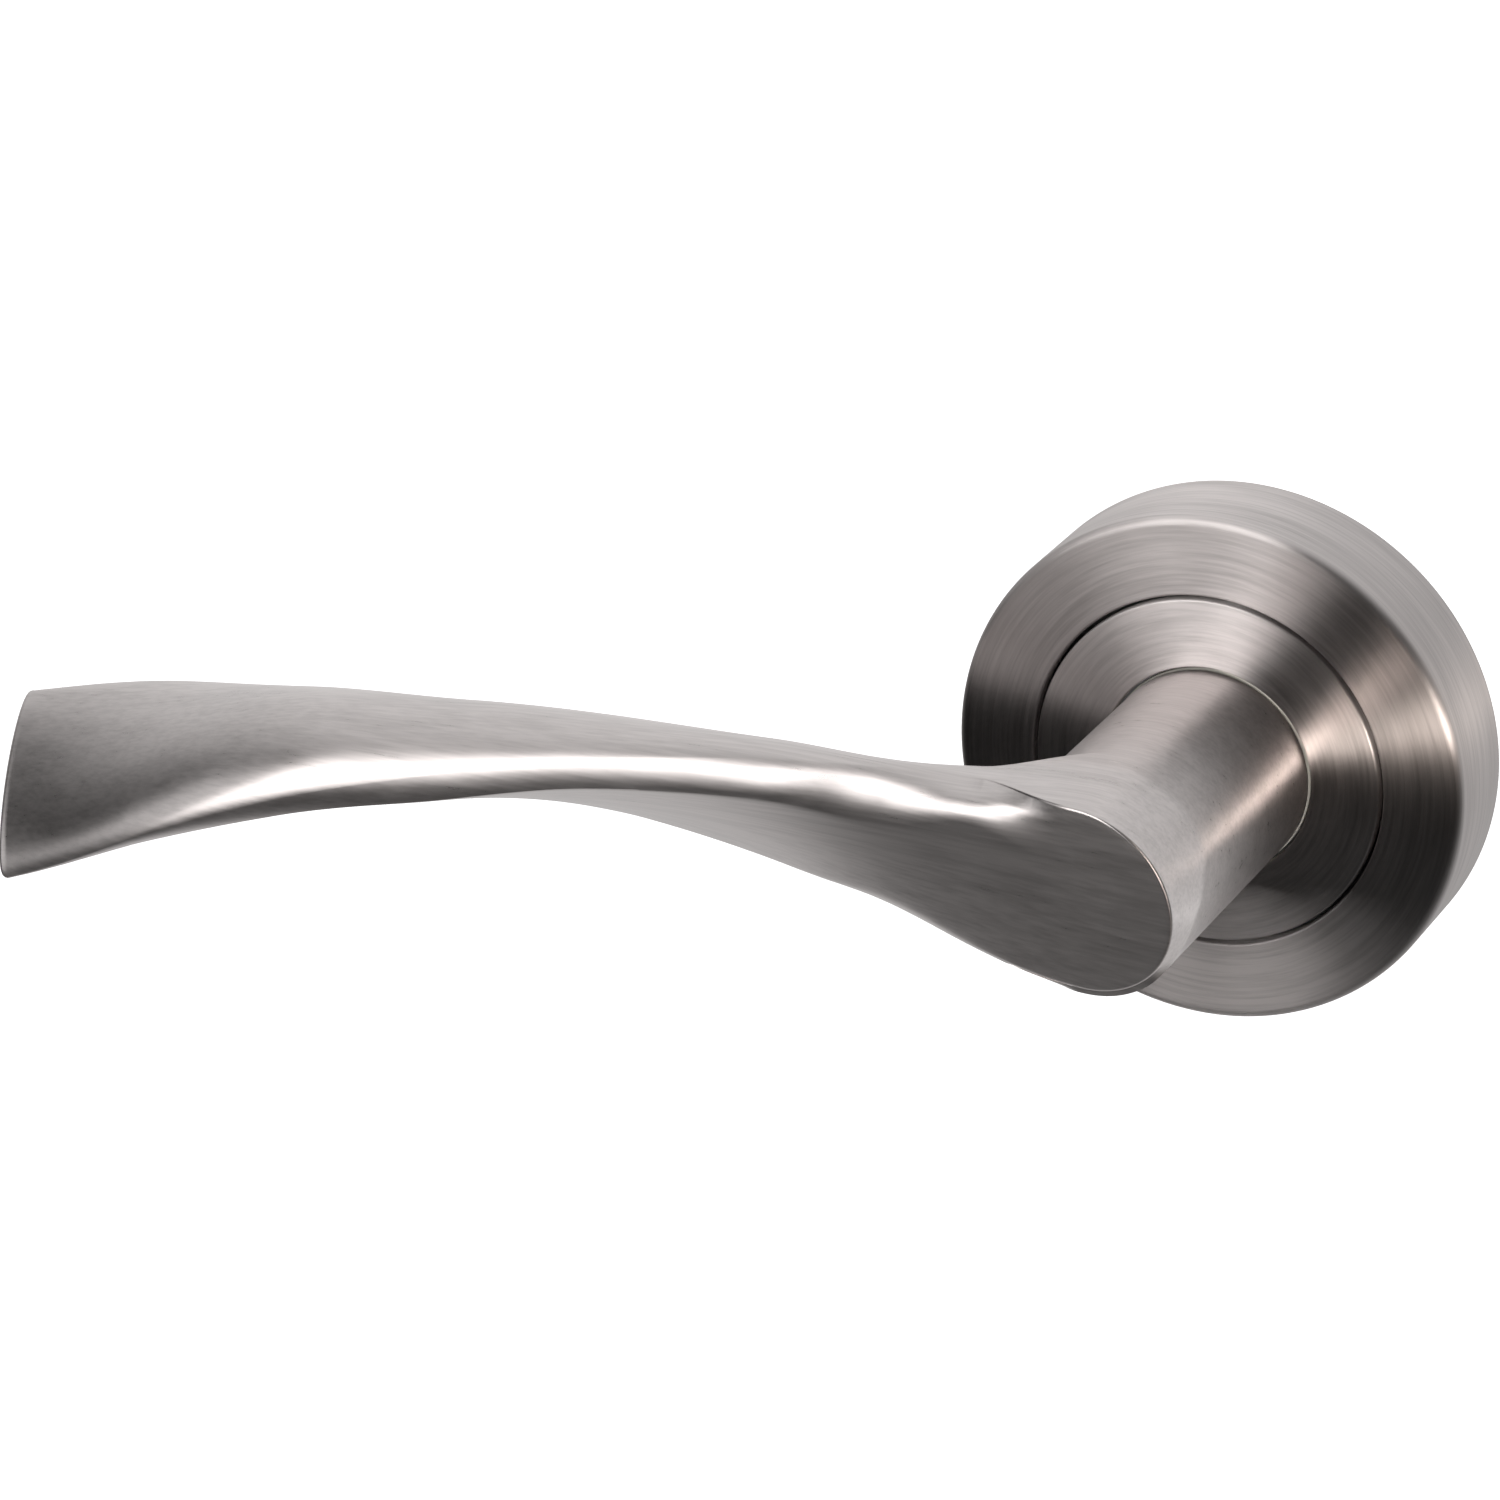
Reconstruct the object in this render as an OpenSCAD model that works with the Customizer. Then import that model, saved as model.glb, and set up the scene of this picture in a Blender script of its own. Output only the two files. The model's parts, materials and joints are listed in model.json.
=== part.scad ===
// Sprung door lever handle on a round rose, one side of the door.
// The spindle axis is the Y axis. The door face is the plane y = 0, the room is
// towards -Y, and the lever arm points along -X when it is at rest.

/* [Rose] */
// Diameter of the rose
rose_d = 52; // [50:0.5:54]
// How far the rose stands out from the door
rose_h = 11.4; // [11.4:0.1:12]
// Diameter of the round centre disc that shows inside the rose cover
disc_d = 35.3; // [35.1:0.1:35.5]
// Width of the fine gap round the centre disc
disc_gap = 0.4; // [0.3:0.05:0.5]
// Radius of the rose cover's front edge
rose_edge_r = 0.9; // [0.4:0.1:1.2]

/* [Lever] */
// Diameter of the lever's neck
neck_d = 20.8; // [20.6:0.1:21]
// Distance from the rose's front to the foremost edge of the lever's head
lever_reach = 35.4; // [35:0.1:36]
// How far the head's front face leans back towards its lower edge
face_lean = 9.6; // [9:0.1:10]
// How far the head's front face falls back towards the arm
face_turn = 6; // [5.5:0.1:6.5]
// Distance between the design sections along the arm
arm_pitch = 16.5; // [15.5:0.1:17.5]
// Diameter of the flat front of the lever's head
head_front_d = 19.6; // [19.4:0.1:19.8]

/* [Spindle and fixings] */
// Width across the flats of the square spindle
spindle_w = 8; // [7.6:0.1:8]
// How far the spindle stands out behind the door face
spindle_out = 28; // [20:1:30]
// Distance between the two threaded lugs
lug_centres = 38; // [38:0.1:38.4]
// Length of the lugs behind the door face
lug_out = 5; // [4:0.5:6]
// Bore of the lugs' thread
lug_bore_d = 3.3; // [3.2:0.05:3.4]
// Distance from the centre to each wood screw hole
wood_hole_r = 20.8; // [20.4:0.1:21]

/* [Motion] */
// How far the lever turns down
turn = 45; // [30:1:50]
// Wire diameter of the return spring
spring_wire_d = 1.2; // [1:0.1:1.3]
// Turns in the return spring
spring_turns = 1.75; // [1.5:0.05:1.8]

/* [Hidden] */

$fn = 96;
cut = 0.01;
nickel = [0.66, 0.63, 0.62];
steel = [0.55, 0.56, 0.58];
zinc = [0.62, 0.63, 0.65];
nylon = [0.90, 0.89, 0.85];
rubber = [0.12, 0.12, 0.12];

// Clearances
running = 0.05;
loose = 0.35;

// Depths are measured forwards from the door face, so a depth d lies at y = -d.
gasket_t = 0.6;
plate_back = gasket_t;
plate_front = 3.4;
web_back = 2.1;
cam_back = 3.9;
cam_front = 5.3;
wall_back = 8.9;
wall_front = 10.1;
disc_back = 10.2;
flange_front = 10.7;
neck_back = flange_front + running;
head_back = 37;
head_front = rose_h + lever_reach;

// Radii
rose_r = rose_d / 2;
cover_t = 1.5;
cover_inner_r = rose_r - cover_t;
disc_r = disc_d / 2;
cover_hole_r = disc_r + disc_gap;
neck_r = neck_d / 2;
head_front_r = head_front_d / 2;
front_journal_r = 8.5;
rear_journal_r = 7.5;
journal_flat = 6.5;
bush_t = 1.25;
plate_r = cover_inner_r - 0.3;
housing_r = 17.2;
housing_inner_r = 14.9;
cam_r = 14.2;
pin_orbit = 11.0;
pin_r = 1;
spring_r = 12.6;
spring_wire_r = spring_wire_d / 2;
washer_r = 10.6;
recess_r = 11.2;
screw_orbit = 16.05;
screw_angles = [50, 130, 230, 310];

// Spindle, socket and grub screw
socket_w = spindle_w + 0.1;
socket_depth = 34;
grub_depth = 17;
grub_r = 2.5;
lug_r = 3.5;
lug_head_r = 4.5;
lug_head_t = 0.8;

// Design sections of the arm, one every arm_pitch from the neck axis to the tip:
// [height, depth, half width, half thickness, twist, flatness of the front side, squareness,
//  fullness of the back, fullness of the front]
sections = [
    [  0.0, 39.6,   9.7, 5.9,  10, 0.90, 10.0, 2.0, 10.0],
    [  0.6, 39.2,   9.0, 4.8,  20, 0.85,  2.8, 1.7,  2.5],
    [  1.7, 39.2,   8.9, 5.1,  41, 0.63,  2.2, 1.8,  2.0],
    [  1.4, 39.5,   8.5, 5.8,  58, 0.46,  2.0, 1.8,  1.8],
    [ -0.4, 40.2,   8.7, 6.7,  75, 0.38,  2.0, 1.7,  1.9],
    [ -1.6, 41.0,   9.9, 5.9,  98, 0.33,  2.0, 1.5,  1.9],
    [ -5.0, 41.6,  10.5, 3.7, 117, 0.37,  2.0, 1.5,  1.9],
    [-10.3, 41.9,  10.0, 2.0, 136, 0.47,  2.0, 1.7,  1.9]];
spans = len(sections) - 1;
rings_per_span = 4;
ring_points = 28;

// Turns a profile drawn as [radius, depth] about the spindle axis.
module turned(points) {
    rotate([90, 0, 0]) rotate_extrude($fn = 128) polygon(points);
}

// A round bar about the spindle axis between two depths.
module bar(r, from, to) {
    rotate([90, 0, 0]) translate([0, 0, from]) cylinder(r = r, h = to - from);
}

// A round bar parallel to the spindle axis, at an orbit and an angle seen from the front.
module offset_bar(orbit, angle, r, from, to) {
    rotate([90, 0, 0]) rotate([0, 0, angle]) translate([orbit, 0, from]) cylinder(r = r, h = to - from);
}

// A cone parallel to the spindle axis, wide at its back.
module countersink(orbit, angle, r_back, r_front, from, to) {
    rotate([90, 0, 0]) rotate([0, 0, angle]) translate([orbit, 0, from])
        cylinder(r1 = r_back, r2 = r_front, h = to - from);
}

// A flat ring about the spindle axis.
module ring(r_out, r_in, from, to) {
    difference() {
        bar(r_out, from, to);
        bar(r_in, from - cut, to + cut);
    }
}

// A square bar about the spindle axis.
module square_bar(w, from, to) {
    translate([-w / 2, -to, -w / 2]) cube([w, to - from, w]);
}

// A smooth curve through the design values v, and its slope per section.
function reach_before(v, i) = i < 0 ? 2 * v[0] - v[1] : v[i];
function reach_after(v, i) = i > spans ? 2 * v[spans] - v[spans - 1] : v[i];
function four(v, i) = [reach_before(v, i - 1), v[i], reach_after(v, i + 1), reach_after(v, i + 2)];
function through(q, f) = 0.5 * (2 * q[1] + (q[2] - q[0]) * f
    + (2 * q[0] - 5 * q[1] + 4 * q[2] - q[3]) * f * f
    + (3 * q[1] - q[0] - 3 * q[2] + q[3]) * f * f * f);
function slope(q, f) = 0.5 * ((q[2] - q[0])
    + 2 * (2 * q[0] - 5 * q[1] + 4 * q[2] - q[3]) * f
    + 3 * (3 * q[1] - q[0] - 3 * q[2] + q[3]) * f * f);
function column(k) = [for (s = sections) s[k]];
function whole(w) = min(floor(w), spans - 1);
function value(k, w) = through(four(column(k), whole(w)), w - whole(w));
function lean(k, w) = slope(four(column(k), whole(w)), w - whole(w)) / arm_pitch;

// One rounded section with a flatter front side, in the arm's own width and thickness.
function rounded(x, e) = sign(x) * pow(abs(x), e);
function flattened(q, flat) = q >= -0.001 ? q : -pow(pow(-q, -24) + pow(flat, -24), -1 / 24);
function section_point(w, t, a, b, flat, e, back_e, front_e) = let (
    p = a * rounded(cos(t), e),
    q = flattened(b * rounded(sin(t), t < 180 ? back_e : front_e), flat * b),
    twist = value(4, w),
    dy = sin(twist) * p - cos(twist) * q,
    dz = cos(twist) * p + sin(twist) * q)
    [lean(0, w) * dz - lean(1, w) * dy - w * arm_pitch, -value(1, w) - dy, value(0, w) + dz];
function section_ring(w) = [for (k = [0:ring_points - 1])
    section_point(w, 360 * k / ring_points, value(2, w), value(3, w), value(5, w), 2 / value(6, w),
        2 / value(7, w), 2 / value(8, w))];

// The twisted arm, from inside the head to the square-cut tip.
module arm() {
    count = spans * rings_per_span;
    points = [for (i = [0:count]) each section_ring(i / rings_per_span)];
    sides = [for (i = [0:count - 1], k = [0:ring_points - 1]) let (
        n = (k + 1) % ring_points,
        here = i * ring_points,
        next = here + ring_points)
        each [[here + k, next + n, here + n], [here + k, next + k, next + n]]];
    head_cap = [[for (k = [0:ring_points - 1]) k]];
    tip_cap = [[for (k = [ring_points - 1:-1:0]) count * ring_points + k]];
    polyhedron(points, concat(sides, head_cap, tip_cap), convexity = 6);
}

// Neck and head of the lever with the two journals behind them.
module lever_stem() {
    turned([[0, 0.05], [rear_journal_r - 0.2, 0.05], [rear_journal_r, 0.25], [rear_journal_r, cam_front],
        [front_journal_r, cam_front], [front_journal_r, neck_back], [neck_r - 0.3, neck_back],
        [neck_r, neck_back + 0.3], [neck_r, head_back], [head_front_r, head_front],
        [0, head_front]]);
}

// Everything in front of the head's front face, which leans back at its lower edge and at the arm.
module beyond_face() {
    size = 40;
    face_left = neck_r + 0.2;
    face_drop = head_front_r * norm([tan(face_lean), tan(face_turn)]);
    translate([0, face_drop - head_front, 0]) rotate([face_lean, 0, -face_turn])
        translate([-face_left, -size, -size / 2]) cube(size);
}

module lever() {
    color(nickel) difference() {
        union() {
            lever_stem();
            arm();
        }
        beyond_face();
        square_bar(socket_w, -1, socket_depth);
        for (side = [-1, 1]) journal_flat_cut(side);
        ring(rear_journal_r + 1, 6.8, 0.55, 1.4);
        translate([0, -grub_depth, -neck_r - 1]) cylinder(r = grub_r, h = neck_r + 1);
    }
}

// One of the two flats that the cam drives on.
module journal_flat_cut(side) {
    translate([side * (journal_flat + 2) - 2, -cam_front + cut, -rear_journal_r - 1])
        cube([4, cam_front, 2 * rear_journal_r + 2]);
}

module grub_screw() {
    top = -spindle_w / 2;
    length = 5.8;
    color(steel) difference() {
        translate([0, -grub_depth, top - length]) cylinder(r = grub_r - running, h = length);
        translate([0, -grub_depth, top - length - cut]) cylinder(r = 1.4, h = 2.5, $fn = 6);
    }
}

module spindle() {
    half_diagonal = spindle_w * 0.72;
    front = socket_depth - 0.4;
    color(steel) intersection() {
        square_bar(spindle_w, -spindle_out, front);
        turned([[0, -spindle_out], [half_diagonal - 1.6, -spindle_out], [half_diagonal, 1.6 - spindle_out],
            [half_diagonal, front - 1.6], [half_diagonal - 1.6, front], [0, front]]);
    }
}

// Flat plate keyed to the lever, with two arc slots for the stop pins.
module drive_cam() {
    slot_end = asin(pin_r / pin_orbit) + 0.6;
    color(steel) difference() {
        bar(cam_r, cam_back, cam_front - running);
        intersection() {
            bar(rear_journal_r + running, cam_back - cut, cam_front);
            translate([-journal_flat - running, -cam_front, -rear_journal_r - 1])
                cube([2 * (journal_flat + running), cam_front, 2 * rear_journal_r + 2]);
        }
        for (side = [0, 180]) rotate([90, 0, 0]) rotate([0, 0, 90 + side - turn - slot_end])
            translate([0, 0, cam_back - cut]) rotate_extrude(angle = turn + 2 * slot_end)
                translate([pin_orbit - pin_r - 0.1, 0]) square([2 * pin_r + 0.2, cam_front]);
        offset_bar(leg_orbit, spring_end_angle + leg_shift, leg_hole_r, cam_back - cut, cam_front + cut);
    }
}

// External circlip with a gap and two plier eyes.
module circlip() {
    color(steel) difference() {
        union() {
            ring(8.9, 6.85, 0.6, 1.35);
            for (side = [-1, 1]) offset_bar(8.6, 270 + side * 16, 1.5, 0.6, 1.35);
        }
        translate([-1.1, -2, -11]) cube([2.2, 2, 6]);
        for (side = [-1, 1]) offset_bar(8.8, 270 + side * 16, 0.6, 0.5, 2);
    }
}

// Flat washer between the circlip and the coned washer.
module flat_washer() {
    color(steel) ring(washer_r - 0.4, rear_journal_r + 0.1, 1.4, 1.65);
}

// Coned washer that takes up the end play.
module spring_washer() {
    inner = rear_journal_r + 0.15;
    color(steel) turned([[inner, 1.9], [inner, 1.7], [washer_r, 1.85], [washer_r, 2.05]]);
}

// Torsion spring: a short coil whose two ends bend square into the housing and the cam.
spring_start = wall_back - spring_wire_r - running;
spring_pitch = spring_wire_d + 0.08;
spring_start_angle = 200;
spring_end_angle = spring_start_angle + 360 * spring_turns;
spring_end = spring_start - spring_pitch * spring_turns;
bend_r = 1;
leg_out = 0.9;
leg_orbit = norm([spring_r, bend_r]);
leg_shift = atan(bend_r / spring_r);
leg_hole_r = spring_wire_r + 0.1;
coil_steps = 44;
bend_steps = 4;
wire_sides = 10;

// A point on the wire: on the coil at angle t and a depth, moved along and across the coil there.
function wire_at(t, depth, along, back) =
    [spring_r * cos(t) - along * sin(t), back - depth, spring_r * sin(t) + along * cos(t)];
// A ring of points round the wire, which heads at an angle s from the coil towards the back.
function wire_ring(centre, t, s) = [for (k = [0:wire_sides - 1]) let (
    out = spring_wire_r * cos(360 * k / wire_sides),
    up = spring_wire_r * sin(360 * k / wire_sides))
    centre + [out * cos(t) + up * sin(s) * sin(t), up * cos(s), out * sin(t) - up * sin(s) * cos(t)]];

module coil() {
    first = spring_start_angle;
    last = spring_end_angle;
    first_leg = [wire_ring(wire_at(first, wall_back + leg_out, -bend_r, 0), first, 90)];
    first_bend = [for (i = [0:bend_steps - 1]) let (s = 90 - 90 * i / bend_steps)
        wire_ring(wire_at(first, spring_start, -bend_r * sin(s), -bend_r * (1 - cos(s))), first, s)];
    turns = [for (i = [0:coil_steps]) let (f = i / coil_steps, t = first + (last - first) * f)
        wire_ring(wire_at(t, spring_start + (spring_end - spring_start) * f, 0, 0), t, 0)];
    last_bend = [for (i = [1:bend_steps]) let (s = 90 * i / bend_steps)
        wire_ring(wire_at(last, spring_end, bend_r * sin(s), bend_r * (1 - cos(s))), last, s)];
    last_leg = [wire_ring(wire_at(last, cam_front - leg_out, bend_r, 0), last, 90)];
    rings = concat(first_leg, first_bend, turns, last_bend, last_leg);
    sides = [for (i = [0:len(rings) - 2], k = [0:wire_sides - 1]) let (
        n = (k + 1) % wire_sides,
        here = i * wire_sides,
        next = here + wire_sides)
        each [[here + k, next + n, here + n], [here + k, next + k, next + n]]];
    first_cap = [[for (k = [0:wire_sides - 1]) k]];
    last_cap = [[for (k = [wire_sides - 1:-1:0]) (len(rings) - 1) * wire_sides + k]];
    polyhedron([for (r = rings) each r], concat(sides, first_cap, last_cap), convexity = 6);
}

module return_spring() {
    color(steel) coil();
}

// Flanged bearing that carries the neck end of the lever.
module front_bush() {
    inner = front_journal_r + running;
    color(nylon) turned([[inner, cam_front + 0.3], [inner, flange_front], [neck_r + 0.1, flange_front],
        [neck_r + 0.1, wall_front], [inner + bush_t, wall_front], [inner + bush_t, cam_front + 0.3]]);
}

// Flanged bearing in the mounting plate.
module rear_bush() {
    inner = rear_journal_r + running;
    color(nylon) turned([[inner, web_back], [inner, cam_back - 0.1], [inner + 2.4, cam_back - 0.1],
        [inner + 2.4, plate_front], [inner + bush_t, plate_front], [inner + bush_t, web_back]]);
}

// Cup that holds the spring and the front bush.
module spring_housing() {
    color(zinc) difference() {
        bar(housing_r, plate_front, wall_front);
        bar(housing_inner_r, plate_front - cut, wall_back);
        bar(front_journal_r + running + bush_t, wall_back - cut, wall_front + cut);
        ring(16.6, 15.4, wall_front - 0.5, wall_front + cut);
        for (angle = screw_angles) offset_bar(screw_orbit, angle, 0.85, plate_front - cut, 8);
        offset_bar(leg_orbit, spring_start_angle - leg_shift, leg_hole_r, wall_back - cut, wall_front + cut);
    }
}

module housing_screws() {
    head_t = 0.9;
    color(steel) for (angle = screw_angles) difference() {
        union() {
            offset_bar(screw_orbit, angle, 0.83, plate_back + 0.1, 7.6);
            countersink(screw_orbit, angle, 1.8, 0.83, plate_back + 0.1, plate_back + 0.1 + head_t);
        }
        rotate([90, 0, 0]) rotate([0, 0, angle]) translate([screw_orbit, 0, plate_back + 0.4]) {
            cube([2, 0.4, 0.7], center = true);
            cube([0.4, 2, 0.7], center = true);
        }
    }
}

// Two fixed pins that the cam's slots stop against.
module stop_pins() {
    color(steel) for (angle = [90, 270]) offset_bar(pin_orbit, angle, pin_r, plate_front - 1.1, cam_front + 0.1);
}

// Base plate with its bush seat, stepped lug holes, screw holes and edge groove.
module mounting_plate() {
    color(zinc) difference() {
        bar(plate_r, plate_back, plate_front);
        bar(recess_r, plate_back - cut, web_back);
        bar(rear_journal_r + running + bush_t, web_back - cut, plate_front + cut);
        ring(plate_r + 1, plate_r - 1.3, 1.3, 2.7);
        for (angle = [0, 180]) {
            offset_bar(lug_centres / 2, angle, lug_r, plate_back - cut, plate_front + cut);
            offset_bar(lug_centres / 2, angle, lug_head_r, plate_front - lug_head_t, plate_front + cut);
        }
        for (angle = [90, 270]) {
            offset_bar(wood_hole_r, angle, 1.75, plate_back - cut, plate_front + cut);
            rotate([90, 0, 0]) rotate([0, 0, angle]) translate([wood_hole_r, 0, plate_front - 1.2])
                cylinder(r1 = 1.75, r2 = 2.95, h = 1.2 + cut);
            offset_bar(pin_orbit, angle, pin_r, plate_front - 1.1, plate_front + cut);
        }
        for (angle = screw_angles) {
            offset_bar(screw_orbit, angle, 0.9, plate_back - cut, plate_front + cut);
            countersink(screw_orbit, angle, 1.95, 0.9, plate_back - cut, plate_back + 1.1);
        }
    }
}

// Threaded posts riveted into the plate, which the through bolts screw into.
module bolt_lugs() {
    color(steel) for (angle = [0, 180]) difference() {
        union() {
            offset_bar(lug_centres / 2, angle, lug_r, -lug_out, plate_front);
            offset_bar(lug_centres / 2, angle, lug_head_r, plate_front - lug_head_t, plate_front);
        }
        offset_bar(lug_centres / 2, angle, lug_bore_d / 2, -lug_out - cut, 1);
    }
}

module door_gasket() {
    color(rubber) difference() {
        ring(plate_r - 0.4, recess_r + 0.4, 0, gasket_t);
        for (angle = [0, 180]) offset_bar(lug_centres / 2, angle, lug_r + 0.2, -1, 1);
        for (angle = [90, 270]) offset_bar(wood_hole_r, angle, 2, -1, 1);
    }
}

// Centre disc with a bright-edged rim and a spigot pressed into the housing.
module face_disc() {
    r = disc_r;
    hole = neck_r + loose;
    color(nickel) turned([[hole, disc_back], [hole, rose_h - 0.15], [hole + 0.15, rose_h],
        [r - 0.2, rose_h], [r, rose_h - 0.2], [r, disc_back], [16.55, disc_back], [16.55, 9.7],
        [15.45, 9.7], [15.45, disc_back]]);
}

// Round rubber ring that grips the inside of the cover.
module cover_o_ring() {
    section_r = 0.7;
    color(rubber) rotate([90, 0, 0]) translate([0, 0, 2])
        rotate_extrude($fn = 128) translate([cover_inner_r - section_r - running, 0]) circle(r = section_r, $fn = 32);
}

// Pressed cover: a flat front ring, a rounded edge and a straight skirt.
module rose_cover() {
    corner = [for (a = [0:15:90]) [rose_r - rose_edge_r + rose_edge_r * cos(a),
        rose_h - rose_edge_r + rose_edge_r * sin(a)]];
    color(nickel) turned(concat([[cover_inner_r, 0], [rose_r - 0.3, 0], [rose_r, 0.3]], corner,
        [[cover_hole_r + 0.25, rose_h], [cover_hole_r, rose_h - 0.25], [cover_hole_r, rose_h - cover_t],
        [cover_inner_r, rose_h - cover_t]]));
}

lever();
grub_screw();
spindle();
drive_cam();
circlip();
flat_washer();
spring_washer();
return_spring();
front_bush();
rear_bush();
spring_housing();
housing_screws();
stop_pins();
mounting_plate();
bolt_lugs();
door_gasket();
face_disc();
cover_o_ring();
rose_cover();
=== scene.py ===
"""Looks of a door lever handle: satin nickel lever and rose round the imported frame, in metres."""
import json
import math

import bmesh
import bpy
import numpy as np
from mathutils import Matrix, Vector
from mathutils.bvhtree import BVHTree


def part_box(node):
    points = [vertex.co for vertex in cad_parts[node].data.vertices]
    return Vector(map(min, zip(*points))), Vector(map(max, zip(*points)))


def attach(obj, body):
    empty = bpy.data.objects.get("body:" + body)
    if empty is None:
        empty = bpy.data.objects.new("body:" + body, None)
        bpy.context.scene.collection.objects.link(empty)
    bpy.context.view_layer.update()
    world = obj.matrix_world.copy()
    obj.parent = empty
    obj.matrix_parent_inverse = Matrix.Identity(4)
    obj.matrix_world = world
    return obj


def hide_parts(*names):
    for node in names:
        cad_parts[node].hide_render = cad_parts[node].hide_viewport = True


MM = 0.001
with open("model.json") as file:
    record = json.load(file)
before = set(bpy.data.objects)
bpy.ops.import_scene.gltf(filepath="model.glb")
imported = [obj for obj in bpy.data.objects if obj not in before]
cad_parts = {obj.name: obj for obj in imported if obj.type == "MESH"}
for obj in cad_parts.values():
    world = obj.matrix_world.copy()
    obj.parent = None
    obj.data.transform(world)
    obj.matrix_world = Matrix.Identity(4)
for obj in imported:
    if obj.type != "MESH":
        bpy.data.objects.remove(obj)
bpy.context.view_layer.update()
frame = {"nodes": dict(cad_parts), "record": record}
nodes = frame["nodes"]

# ---------------------------------------------------------------- sizes
# All lengths are in millimetres until a mesh is made. Depth d lies at y = -d.
rose_low, rose_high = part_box("rose_cover")
_, lever_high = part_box("lever")
_, disc_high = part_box("face_disc")
ROSE_R = rose_high.x / MM
ROSE_FRONT = -rose_low.y / MM
DISC_R = disc_high.x / MM
DISC_BACK = -disc_high.y / MM
COVER_WALL = 1.5
COVER_HOLE_R = DISC_R + 0.4
NECK_R = lever_high.x / MM
NECK_BACK = 10.75
JOURNAL_R = 8.5
REAR_JOURNAL_R = 7.5
CAM_FRONT = 5.3
GROOVE_BACK, GROOVE_FRONT, GROOVE_R = 0.55, 1.4, 6.8
GRUB_R, GRUB_DEPTH = 2.5, 17.0

# The lever's head: a flat face that leans back at its lower edge and towards the arm.
FACE_DEPTH = 44.85
FACE_LEAN = math.tan(math.radians(9.6))
FACE_TURN = math.tan(math.radians(6.0))
FACE_CROWN = 160.0
RING_R = 9.8
EDGE_R = 0.3
HEAD_BACK = 33.7
# The band inside the face starts at these radii at its top and bottom.
INNER_TOP, INNER_BOTTOM = 3.5, 8.5
# The crease between wall and neck: its depth at the top, the least height of the wall below it,
# and the angles between which it rises to the ring.
CREASE_TOP = 36.8
CREASE_WALL = 0.15
CREASE_START, CREASE_END = math.radians(38), math.radians(-50)

# Design sections of the arm, one every ARM_PITCH from the neck axis to the tip. The columns are
# height, depth, half width, half thickness, twist, flatness of the front side, squareness,
# fullness of the back and fullness of the front.
ARM_PITCH = 16.5
SECTIONS = np.array([
    [0.0, 39.6, 9.7, 5.9, 10, 0.90, 10.0, 2.0, 10.0],
    [0.6, 39.2, 9.0, 4.8, 20, 0.85, 2.8, 1.7, 2.5],
    [1.7, 39.2, 8.9, 5.1, 41, 0.63, 2.2, 1.8, 2.0],
    [1.4, 39.5, 8.5, 5.8, 58, 0.46, 2.0, 1.8, 1.8],
    [-0.4, 40.2, 8.7, 6.7, 75, 0.38, 2.0, 1.7, 1.9],
    [-1.6, 41.0, 9.9, 5.9, 98, 0.33, 2.0, 1.5, 1.9],
    [-5.0, 41.6, 10.5, 3.7, 117, 0.37, 2.0, 1.5, 1.9],
    [-10.3, 41.9, 10.0, 2.0, 136, 0.47, 2.0, 1.7, 1.9]])
SPANS = len(SECTIONS) - 1
ARM_REACH = SPANS * ARM_PITCH
ROOT_REACH = 13.0
EDGE_SHARPNESS = 24
TIP_ROUND = 0.7
TIP_CROWN = 0.25
FILLET_R = 1.3

# Steps round one section: the band inside the face, then edge, wall and neck along each side,
# then across the back and over the front.
BAND_STEPS = 6
SIDE_STEPS = (5, 14, 8)
SIDE_TOTAL = sum(SIDE_STEPS)
BACK_STEPS = 56
FRONT_STEPS = 40
# On the arm the side points take up this angle, and bunch towards the edge by this power.
SIDE_ANGLE = math.radians(32)
SIDE_BUNCHING = 1.5
# Share of the front's lower half that the band covers, and how far front points bunch at the edges.
BAND_SHARE = 0.2
FRONT_BUNCHING = 0.35
# Steps along the root and the arm, round the tip, round the head and round the neck
ROOT_STEPS = 26
ARM_STEPS = 205
TIP_STEPS = 6
HEAD_STEPS = 64
NECK_STEPS = 360


# ---------------------------------------------------------------- mesh helpers
def new_object(name, mesh):
    obj = bpy.data.objects.new(name, mesh)
    bpy.context.scene.collection.objects.link(obj)
    return obj


def mesh_from(name, points, faces):
    """A mesh from points in millimetres."""
    mesh = bpy.data.meshes.new(name)
    mesh.from_pydata([tuple(c * MM for c in p) for p in points], [], faces)
    mesh.update()
    return mesh


def shade(mesh, angle=30):
    """Smooth shading, with edges sharper than angle kept sharp."""
    for p in mesh.polygons:
        p.use_smooth = True
    mesh.set_sharp_from_angle(angle=math.radians(angle))


def tidy(mesh, distance=1e-4):
    """Joins points that lie together and turns all faces outwards."""
    work = bmesh.new()
    work.from_mesh(mesh)
    bmesh.ops.remove_doubles(work, verts=work.verts, dist=distance * MM)
    bmesh.ops.dissolve_degenerate(work, edges=work.edges, dist=distance * MM)
    bmesh.ops.recalc_face_normals(work, faces=work.faces)
    work.to_mesh(mesh)
    work.free()


def lathe(name, profile, steps=256):
    """A closed ring turned about the spindle axis from a profile of (radius, depth) points."""
    count = len(profile)
    points = []
    for i in range(steps):
        a = 2 * math.pi * i / steps
        points += [(r * math.cos(a), -d, r * math.sin(a)) for r, d in profile]
    faces = []
    for i in range(steps):
        j = (i + 1) % steps
        for k in range(count):
            n = (k + 1) % count
            faces.append((i * count + k, j * count + k, j * count + n, i * count + n))
    mesh = mesh_from(name, points, faces)
    tidy(mesh)
    return mesh


def arc(centre, radius, start, end, steps=6):
    """Points of an arc in (radius, depth), with angles in degrees from the radial direction."""
    r0, d0 = centre
    angles = [math.radians(start + (end - start) * i / steps) for i in range(steps + 1)]
    return [(r0 + radius * math.cos(a), d0 + radius * math.sin(a)) for a in angles]


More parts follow.
